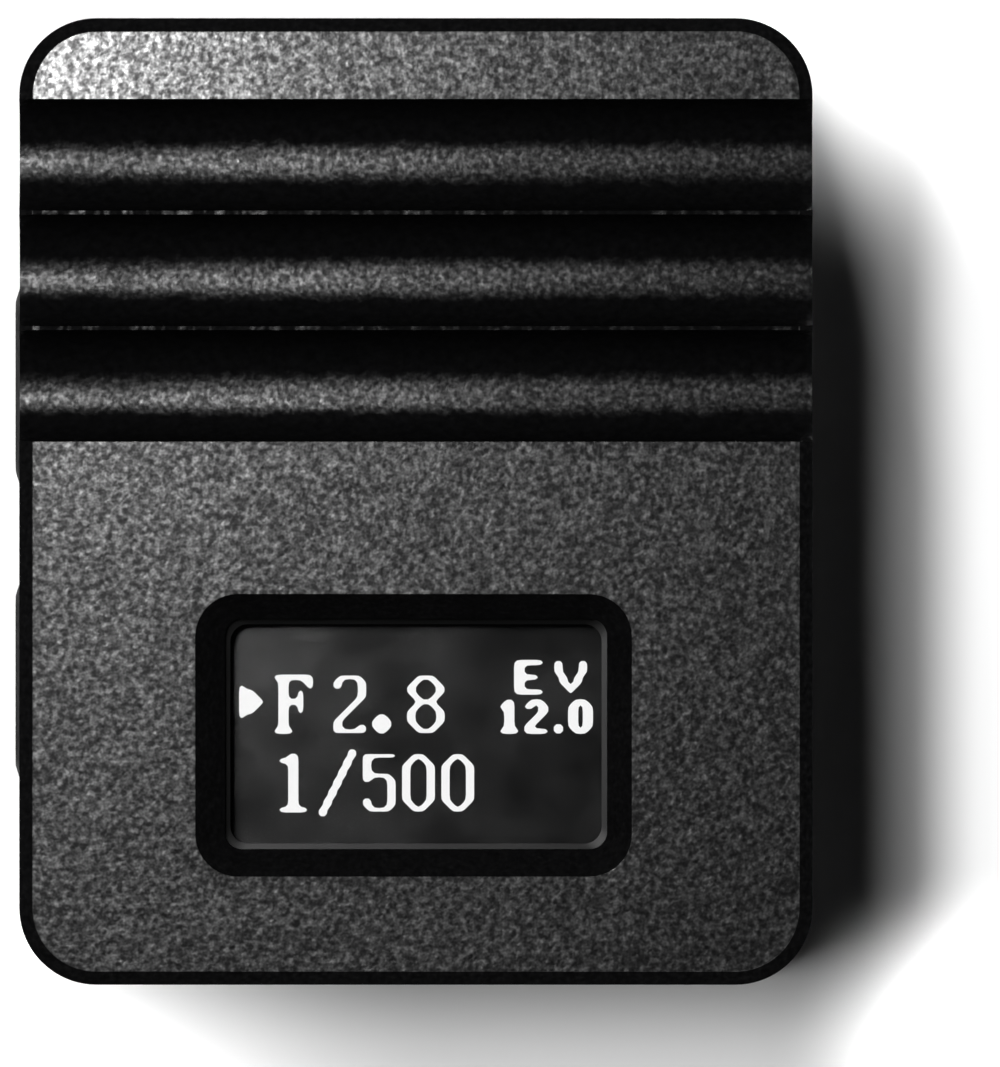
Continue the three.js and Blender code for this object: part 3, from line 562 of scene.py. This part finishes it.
def painted_flute_sheen(shader):
    """Painted highlight: a band of sheen along the flute floors, weaker at their left ends, dull steep walls,
    and a few specks on the lands between.
    """
    wander = shader.spread(shader.noise(WANDER_SIZE, detail=1.0), -BAND_WANDER, BAND_WANDER)
    across = shader.total(shader.total(shader.coordinate("Y"), BAND_SHIFT), wander)
    distance = shader.folded(across, FLUTE_PITCH / 2)
    band = shader.spread(distance, FLUTE_SHEEN, STEEP_SHEEN, BAND_FULL, BAND_END)
    along = shader.spread(shader.coordinate("X"), SHADED_LEVEL, FULL_LEVEL, SHADED_PLACE, FULL_PLACE)
    scattered = shader.noise(SPECK_SIZE, detail=1.0, stretch=SPECK_STRETCH)
    specks = shader.spread(scattered, 0.0, SPECK_LEVEL, SPECK_LOW, SPECK_HIGH)
    land = shader.spread(shader.coordinate("Z"), 0.0, 1.0, below_top(TOP_START), below_top(LAND_FULL))
    return shader.total(shader.product(band, along), shader.product(specks, land))


def metal(name, color, roughness, brush=(1, 1, 1)):
    """Metal with a faint ripple, drawn out by the brush's scale along each axis."""
    shader = Shader(name, color, roughness, metallic=1.0)
    shader.bump(shader.noise(METAL_RIPPLE, detail=1.0, stretch=brush), METAL_RIPPLE_DEPTH)
    shader.vary_roughness(shader.noise(METAL_DULL, detail=1.0, stretch=brush), METAL_DULL_AMOUNT)
    shader.tint(shader.noise(METAL_TINT), tuple(c * METAL_DARKEN for c in color))
    return shader.material


def glassy(name, color, roughness, alpha=1.0, ripple=0.0006, rough_amount=0.02, level=0.5, ior=1.5):
    """Glass or clear plastic, with a ripple of that depth in millimetres."""
    shader = Shader(name, color, roughness, ior=ior)
    shader.surface.inputs["Specular IOR Level"].default_value = level
    shader.surface.inputs["Alpha"].default_value = alpha
    shader.bump(shader.noise(GLASS_RIPPLE, detail=2.0), ripple * MM)
    shader.vary_roughness(shader.noise(GLASS_DULL), rough_amount)
    shader.tint(shader.noise(GLASS_TINT), tuple(c * GLASS_DARKEN for c in color))
    return shader.material


def lit_dots():
    """The plain white glow of the display's characters."""
    shader = Shader("lit dots", (0.02, 0.02, 0.02), roughness=0.4)
    shader.surface.inputs["Emission Color"].default_value = (1, 1, 1, 1)
    shader.surface.inputs["Emission Strength"].default_value = LIT_STRENGTH
    shader.vary_roughness(shader.noise(LIT_DULL_SIZE), LIT_DULL)
    shader.tint(shader.noise(LIT_TINT_SIZE), (0.03, 0.03, 0.03))
    return shader.material


# The case nylon carries painted sheen and shade: dark edges and walls, and a band of highlight in the flutes
NYLON = case_nylon("black sintered nylon", painted_top_sheen).material
FLUTE_NYLON = case_nylon("black nylon in the flutes", painted_flute_sheen).material
BUTTON_NYLON = moulded(
    "black button nylon", CASE_BLACK,
    roughness=0.5, grain=0.12, depth=0.006, level=0.04,
).material
FOOT_NYLON = moulded(
    "black foot nylon", (0.006, 0.006, 0.0064),
    roughness=0.42, grain=0.2, depth=0.006,
).material
SWITCH_PLASTIC = moulded(
    "switch plastic", (0.02, 0.02, 0.022),
    roughness=0.5, grain=0.15, depth=0.004,
).material
CHIP = moulded(
    "chip package", (0.015, 0.015, 0.016),
    roughness=0.55, grain=0.1, depth=0.005, other=(0.03, 0.03, 0.03),
).material
CERAMIC = moulded(
    "fired ceramic", (0.32, 0.22, 0.12),
    roughness=0.55, grain=0.12, depth=0.004, other=(0.26, 0.17, 0.09),
).material
FOAM = moulded(
    "black foam", (0.02, 0.02, 0.02),
    roughness=0.9, grain=0.18, depth=0.03,
).material
SEAL = moulded(
    "natural nylon", (0.68, 0.64, 0.5),
    roughness=0.55, grain=0.2, depth=0.003, other=(0.62, 0.57, 0.43),
).material
BOARD = moulded(
    "green solder mask", (0.01, 0.07, 0.03),
    roughness=0.35, grain=0.35, depth=0.004, other=(0.006, 0.045, 0.02),
).material
FILM = moulded(
    "amber film", (0.36, 0.15, 0.03),
    roughness=0.35, grain=0.5, depth=0.003, other=(0.28, 0.11, 0.02),
).material
STEEL = metal("nickel plated steel", (0.5, 0.51, 0.52), roughness=0.2, brush=(1, 1, 8))
BLACK_STEEL = metal("black oxide steel", (0.05, 0.05, 0.052), roughness=0.38, brush=(1, 1, 6))
BRASS = metal("gold flashed brass", (0.58, 0.4, 0.12), roughness=0.3, brush=(6, 1, 1))
DISPLAY_GLASS = glassy(
    "dark display glass", (0.0008, 0.0008, 0.0009),
    roughness=0.19, ripple=0.002, rough_amount=0.03, level=0.75, ior=1.7,
)
CLEAR_PANE = glassy("clear pane", (0.003, 0.003, 0.0032), roughness=0.06, alpha=0.05)
PANE_BORDER = glassy("black printed border", (0.002, 0.002, 0.002), roughness=0.34, level=0.28)
LENS = glassy("dark lens glass", (0.012, 0.016, 0.024), roughness=0.06)
LIT = lit_dots()


def in_flutes(place):
    """Whether a point lies on the cross flutes in the top or the lands between them."""
    return place.z > below_top(FLUTE_DEPTH + FLUTE_ROOM) and FLUTE_REAR < place.y < FLUTE_FRONT


def run_in(place, half_width, half_length):
    """A point of the flat top's outline, moved in square to the outline."""
    over_x = max(abs(place.x) - half_width + TOP_CORNER, 0)
    over_y = max(abs(place.y) - half_length + TOP_CORNER, 0)
    outwards = Vector((math.copysign(over_x, place.x), math.copysign(over_y, place.y), 0))
    return place - outwards.normalized() * TOP_INSET


def ease_top(solid):
    """Widens the sloping edge round the flat top, and the recess to the left and the rear."""
    top = [vert for vert in solid.verts if vert.co.z > below_top(TOP_ROOM)]
    half_width = max(vert.co.x for vert in top)
    half_length = max(vert.co.y for vert in top)
    recess = [vert for vert in top if abs(vert.co.x) < RECESS_SHARE * half_width and vert.co.y < 0]
    right = max(vert.co.x for vert in recess)
    left = min(vert.co.x for vert in recess)
    front = max(vert.co.y for vert in recess)
    rear = min(vert.co.y for vert in recess)
    for vert in recess:
        vert.co.x -= RECESS_LEFT * (right - vert.co.x) / (right - left)
        vert.co.y -= RECESS_REAR * (front - vert.co.y) / (front - rear)
    for vert in top:
        if vert not in recess:
            vert.co = run_in(vert.co, half_width, half_length)


def finished(node, body, material, bevel, angle=EDGE_ANGLE, inset=None):
    """A copy of a solid with merged flats, a soft edge and smooth curves, standing for the node.

    The inset material is for the flutes, and comes with the eased top.
    """
    mesh = NODES[node].data.copy()
    mesh.materials.clear()
    mesh.materials.append(material)
    if inset:
        mesh.materials.append(inset)
    solid = bmesh.new()
    solid.from_mesh(mesh)
    bmesh.ops.remove_doubles(solid, verts=solid.verts, dist=WELD)
    bmesh.ops.dissolve_limit(
        solid,
        angle_limit=math.radians(FLAT_ANGLE),
        verts=solid.verts,
        edges=solid.edges,
    )
    if inset:
        ease_top(solid)
    for face in solid.faces:
        face.smooth = True
        face.material_index = 0
        if inset and abs(face.normal.x) < STEEP_SIDE and in_flutes(face.calc_center_median()):
            face.material_index = 1
    solid.to_mesh(mesh)
    solid.free()
    mesh.set_sharp_from_angle(angle=math.radians(angle))
    obj = new_object(node + "_finish", mesh)
    edge = obj.modifiers.new("edge", "BEVEL")
    edge.width = bevel
    edge.segments = EDGE_STEPS
    edge.limit_method = "ANGLE"
    edge.angle_limit = math.radians(angle)
    edge.harden_normals = True
    edge.use_clamp_overlap = True
    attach(obj, body)
    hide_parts(node)


def outer_pieces():
    finished("housing", "case", NYLON, FINE_EDGE, inset=FLUTE_NYLON)
    finished("base_plate", "case", NYLON, FINE_EDGE)
    finished("shoe_foot", "case", FOOT_NYLON, SOFT_EDGE)
    finished("sensor_ring", "case", NYLON, SOFT_EDGE)
    finished("sensor_lens", "case", LENS, SOFT_EDGE)
    finished("battery_drawer", "battery_drawer", NYLON, FINE_EDGE)
    for name in ("up_button", "down_button", "measure_button"):
        finished(name, name, BUTTON_NYLON, BUTTON_EDGE, BUTTON_ANGLE)
    for number in range(1, 5):
        finished(f"base_screw_{number}", "case", BLACK_STEEL, FINE_EDGE)
        finished(f"foot_screw_{number}", "case", BLACK_STEEL, SOFT_EDGE)


def rounded_loop(width, length, radius, centre_y, z):
    """Points of a rounded rectangle, anticlockwise seen from above."""
    points = []
    right = width / 2 - radius
    top = length / 2 - radius
    for quarter, (side_x, side_y) in enumerate([(1, 1), (-1, 1), (-1, -1), (1, -1)]):
        for step in range(CORNER_STEPS + 1):
            turn = (quarter + step / CORNER_STEPS) * math.pi / 2
            x = side_x * right + radius * math.cos(turn)
            y = centre_y + side_y * top + radius * math.sin(turn)
            points.append(Vector((x, y, z)))
    return points


def window_pane():
    """The pane, whose printed border slopes down to its clear middle."""
    width = PANE_HIGH.x - PANE_LOW.x
    length = PANE_HIGH.y - PANE_LOW.y
    open_width = width - 2 * WINDOW_SEAT_LIP
    open_length = length - 2 * WINDOW_SEAT_LIP
    middle = PANE_HIGH.z - BORDER_DROP
    sizes = [
        (open_width - 2 * BORDER_WIDTH, open_length - 2 * BORDER_WIDTH, PANE_LOW.z),
        (width, length, PANE_LOW.z),
        (width, length, PANE_HIGH.z),
        (open_width, open_length, PANE_HIGH.z),
        (open_width - 2 * BORDER_WIDTH, open_length - 2 * BORDER_WIDTH, middle),
    ]
    solid = bmesh.new()
    loops = []
    for loop_width, loop_length, z in sizes:
        points = rounded_loop(loop_width, loop_length, WINDOW_CORNER, WINDOW_CENTRE_Y, z)
        loops.append([solid.verts.new(point) for point in points])
    bottom = solid.faces.new(list(reversed(loops[0])))
    bottom.material_index = 0
    for inner, outer in zip(loops, loops[1:]):
        for index in range(len(inner)):
            after = (index + 1) % len(inner)
            band = solid.faces.new([inner[index], inner[after], outer[after], outer[index]])
            band.material_index = 1
    top = solid.faces.new(loops[-1])
    top.material_index = 0
    bmesh.ops.recalc_face_normals(solid, faces=solid.faces)
    mesh = bpy.data.meshes.new("window_pane")
    solid.to_mesh(mesh)
    solid.free()
    mesh.materials.append(CLEAR_PANE)
    mesh.materials.append(PANE_BORDER)
    pane = new_object("window_pane", mesh)
    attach(pane, "case")
    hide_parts("display_window")


def outline_loops(dots):
    """Closed loops of corner points round the lit dots, diagonal neighbours joined."""
    ahead = {}
    for c, r in dots:
        sides = [
            ((c, r - 1), (c, r), (c + 1, r)),
            ((c + 1, r), (c + 1, r), (c + 1, r + 1)),
            ((c, r + 1), (c + 1, r + 1), (c, r + 1)),
            ((c - 1, r), (c, r + 1), (c, r)),
        ]
        for neighbour, start, end in sides:
            if neighbour not in dots:
                ahead.setdefault(start, []).append(end)
    loops = []
    while ahead:
        first = min(ahead)
        loop = [first]
        here = ahead[first].pop()
        before = first
        while here != first or ahead.get(first) and len(loop) < 2:
            loop.append(here)
            choices = ahead[here]
            step = (here[0] - before[0], here[1] - before[1])
            left = (here[0] + step[1], here[1] - step[0])
            pick = left if left in choices else choices[0]
            choices.remove(pick)
            before, here = here, pick
        for corner in [corner for corner, ends in ahead.items() if not ends]:
            del ahead[corner]
        loops.append([Vector(corner) for corner in loop])
    return loops


def drawn_in(loop, amount):
    """The loop moved towards the lit side by an amount in dots."""
    moved = []
    for index, corner in enumerate(loop):
        coming = (corner - loop[index - 1]).normalized()
        going = (loop[(index + 1) % len(loop)] - corner).normalized()
        moved.append(corner + Vector((-coming.y - going.y, coming.x + going.x)) * amount / 2)
    return moved


def smoothed(loop):
    """The middles of the edges, evened out so that slants and curves run smooth."""
    count = len(loop)
    points = [(loop[index - 1] + loop[index]) / 2 for index in range(count)]
    evened = []
    for index in range(count):
        beside = points[index - 1] + points[(index + 1) % count]
        evened.append(points[index] * OWN_WEIGHT + beside * NEIGHBOUR_WEIGHT)
    return evened


def glyph_dots(glyph, column, row):
    lines = GLYPHS[glyph]
    return {(column + along, row + down) for down, line in enumerate(lines)
            for along, mark in enumerate(line) if mark == "#"}


def readout():
    """The lit characters of the display, a thin raised layer on the cover glass."""
    curve = bpy.data.curves.new("readout", "CURVE")
    curve.dimensions = "2D"
    curve.fill_mode = "BOTH"
    curve.extrude = DOT_THICKNESS / 2
    left = -DOT_COLUMNS / 2 * DOT_PITCH
    rear = WINDOW_CENTRE_Y + DOT_ROWS / 2 * DOT_PITCH
    for glyph, column, row in READOUT:
        thin = THIN_INSET if glyph in THIN_GLYPHS else BOLD_INSET
        for loop in outline_loops(glyph_dots(glyph, column, row)):
            points = smoothed(drawn_in(loop, thin))
            spline = curve.splines.new("POLY")
            spline.use_cyclic_u = True
            spline.points.add(len(points) - 1)
            for target, point in zip(spline.points, points):
                target.co = (left + point.x * DOT_PITCH, rear - point.y * DOT_PITCH, 0, 1)
    drawing = bpy.data.objects.new("readout_drawing", curve)
    mesh = bpy.data.meshes.new_from_object(drawing)
    bpy.data.objects.remove(drawing)
    for vertex in mesh.vertices:
        vertex.co.z += COVER_HIGH.z + DOT_LIFT + DOT_THICKNESS / 2
    mesh.materials.clear()
    mesh.materials.append(LIT)
    piece = new_object("readout_characters", mesh)
    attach(piece, "case")


def inner_materials():
    looks = {
        DISPLAY_GLASS: ["display_panel", "display_cover_glass"],
        FOAM: ["window_gasket", "display_foam_pad"],
        FILM: ["display_flex"],
        BOARD: ["main_board", "sensor_board"],
        CHIP: ["display_driver_chip", "microcontroller", "voltage_converter", "power_inductor",
               "chip_resistor_1", "chip_resistor_2"],
        CERAMIC: ["ceramic_capacitor_1", "ceramic_capacitor_2", "ceramic_capacitor_3",
                  "reservoir_capacitor"],
        STEEL: ["clock_crystal", "battery_can", "battery_cap",
                "up_switch_dome", "down_switch_dome", "measure_switch_dome"],
        SEAL: ["battery_seal"],
        BRASS: ["negative_contact_leaf", "positive_contact_leaf", "contact_pin"],
        BLACK_STEEL: ["board_screw_1", "board_screw_2"],
        LENS: ["photodiode"],
        SWITCH_PLASTIC: ["flex_connector", "light_tube",
                         "up_switch_body", "down_switch_body", "measure_switch_body",
                         "up_switch_plunger", "down_switch_plunger", "measure_switch_plunger"],
    }
    for material, names in looks.items():
        for name in names:
            for slot in NODES[name].material_slots:
                slot.material = material


def floor_material():
    """Paper near the object, plain white far away for the camera and reflections, and clear from below."""
    material = bpy.data.materials.new("white floor")
    material.use_nodes = True
    tree = material.node_tree
    paper = tree.nodes["Principled BSDF"]
    paper.inputs["Base Color"].default_value = (FLOOR_WHITE, FLOOR_WHITE, FLOOR_WHITE, 1)
    paper.inputs["Roughness"].default_value = FLOOR_ROUGHNESS
    paper.inputs["Specular IOR Level"].default_value = 0.0
    glow = tree.nodes.new("ShaderNodeEmission")
    clear = tree.nodes.new("ShaderNodeBsdfTransparent")
    path = tree.nodes.new("ShaderNodeLightPath")
    geometry = tree.nodes.new("ShaderNodeNewGeometry")
    length = tree.nodes.new("ShaderNodeVectorMath")
    length.operation = "LENGTH"
    tree.links.new(geometry.outputs["Position"], length.inputs[0])
    far = range_node(tree, length.outputs["Value"], 0.0, 1.0, PAPER_END, WHITE_START)
    far.interpolation_type = "SMOOTHSTEP"
    seen = math_node(tree, "MAXIMUM", path.outputs["Is Camera Ray"], path.outputs["Is Glossy Ray"])
    seen = math_node(tree, "MAXIMUM", seen, path.outputs["Is Transmission Ray"])
    amount = math_node(tree, "MULTIPLY", far.outputs["Result"], seen)
    above = mix_node(tree, amount, paper.outputs["BSDF"], glow.outputs["Emission"])
    below = math_node(tree, "MAXIMUM", geometry.outputs["Backfacing"], path.outputs["Is Shadow Ray"])
    surface = mix_node(tree, below, above, clear.outputs["BSDF"])
    tree.links.new(surface, tree.nodes["Material Output"].inputs["Surface"])
    return material


def floor():
    """A wide white floor that takes the shadow near the object."""
    mesh = bpy.data.meshes.new("floor")
    sides = [(-1, -1), (1, -1), (1, 1), (-1, 1)]
    corners = [(side_x * FLOOR_REACH, side_y * FLOOR_REACH, FLOOR_LEVEL) for side_x, side_y in sides]
    mesh.from_pydata(corners, [], [(0, 1, 2, 3)])
    mesh.materials.append(floor_material())
    new_object("floor", mesh)


def world():
    """White around the horizon, as the camera and reflections see it, and a faint even light."""
    scene_world = bpy.data.worlds.new("studio")
    bpy.context.scene.world = scene_world
    scene_world.use_nodes = True
    tree = scene_world.node_tree
    background = tree.nodes["Background"]
    background.inputs["Color"].default_value = (1, 1, 1, 1)
    path = tree.nodes.new("ShaderNodeLightPath")
    coordinates = tree.nodes.new("ShaderNodeTexCoord")
    split = tree.nodes.new("ShaderNodeSeparateXYZ")
    tree.links.new(coordinates.outputs["Generated"], split.inputs["Vector"])
    horizon = range_node(tree, split.outputs["Z"], 0.0, 1.0, HORIZON_TOP, HORIZON_FULL)
    mirrored = math_node(tree, "MAXIMUM", path.outputs["Is Glossy Ray"], path.outputs["Is Transmission Ray"])
    reflected = math_node(tree, "MULTIPLY", mirrored, horizon.outputs["Result"])
    seen = math_node(tree, "MAXIMUM", reflected, path.outputs["Is Camera Ray"])
    strength = range_node(tree, seen, FAINT_LIGHT, 1.0, 0.0, 1.0)
    tree.links.new(strength.outputs["Result"], background.inputs["Strength"])


# Lamps that only reflections see, aimed at the top: place and width in millimetres, and power in watts
SHEEN_LAMPS = [
    ("hot spot", (-13, 14, 40), 6, 0.0115),
    ("middle glow", (-14, 26, 50), 8, 0.0146),
    ("broad glow", (-20, 10, 96.6), 20, 0.0228),
]

# Lamps that point straight down and show in no reflection: shape, place and size in millimetres, power in
# watts and cone in degrees. The last five are small, stand beside the object and only thin its shadow.
DOWN_LAMPS = [
    ("key", "ELLIPSE", (-53.2, -4.5, 300), (31.2, 79.9), 0.514, 180),
    ("front key", "ELLIPSE", (-48.1, 110.8, 300), (68.7, 160), 0.677, 180),
    ("front right pool", "RECTANGLE", (17, 19.4, 13), (5.4, 3), 0.00414, 89.2),
    ("front pool", "RECTANGLE", (-0.6, 13.9, 6), (15.5, 1), 0.00006, 40),
    ("rear pool", "RECTANGLE", (5.3, -14.8, 7.4), (27.6, 1.1), 0.00002, 30),
    ("rear left pool", "RECTANGLE", (-12.7, -18.3, 11.7), (7.7, 1), 0.000978, 87.6),
    ("rear right pool", "RECTANGLE", (14.95, -14.6, 15.9), (2.8, 2), 0.000171, 30),
]


# A soft lamp below the floor, for the underside only: its depth and width in millimetres, and its power
UNDER_DEPTH = 150
UNDER_WIDTH = 120
UNDER_POWER = 0.4


def area_lamp(name, shape, place, size, power):
    """A soft lamp that the camera doesn't see, place and size in millimetres."""
    data = bpy.data.lights.new(name, "AREA")
    data.shape = shape
    data.size = size[0] * MM
    data.size_y = size[1] * MM
    data.energy = power
    obj = new_object(name, data)
    obj.location = Vector(place) * MM
    obj.visible_camera = False
    return obj


def sheen_lamp(name, place, width, power):
    obj = area_lamp(name, "ELLIPSE", place, (width, width), power)
    aim = Vector((0, 0, cad_high.z)) - obj.location
    obj.rotation_euler = aim.to_track_quat("-Z", "Y").to_euler()
    obj.visible_diffuse = False


def down_lamp(name, shape, place, size, power, cone):
    obj = area_lamp(name, shape, place, size, power)
    obj.data.spread = math.radians(cone)
    obj.visible_glossy = False


def under_lamp():
    obj = area_lamp("under lamp", "RECTANGLE", (0, 0, -UNDER_DEPTH), (UNDER_WIDTH, UNDER_WIDTH), UNDER_POWER)
    obj.rotation_euler = (math.pi, 0, 0)


def lamps():
    for values in SHEEN_LAMPS:
        sheen_lamp(*values)
    for values in DOWN_LAMPS:
        down_lamp(*values)
    under_lamp()


def camera():
    data = bpy.data.cameras.new("camera")
    data.sensor_width = SENSOR
    data.lens = SENSOR * CAMERA_HEIGHT / FRAME_HEIGHT
    data.clip_start = CLIP_START
    data.clip_end = CLIP_END
    obj = new_object("camera", data)
    obj.location = (CAMERA_X, CAMERA_Y, cad_high.z + CAMERA_HEIGHT)
    bpy.context.scene.camera = obj


outer_pieces()
window_pane()
readout()
inner_materials()
floor()
world()
lamps()
camera()

bpy.context.scene.view_settings.view_transform = "Standard"
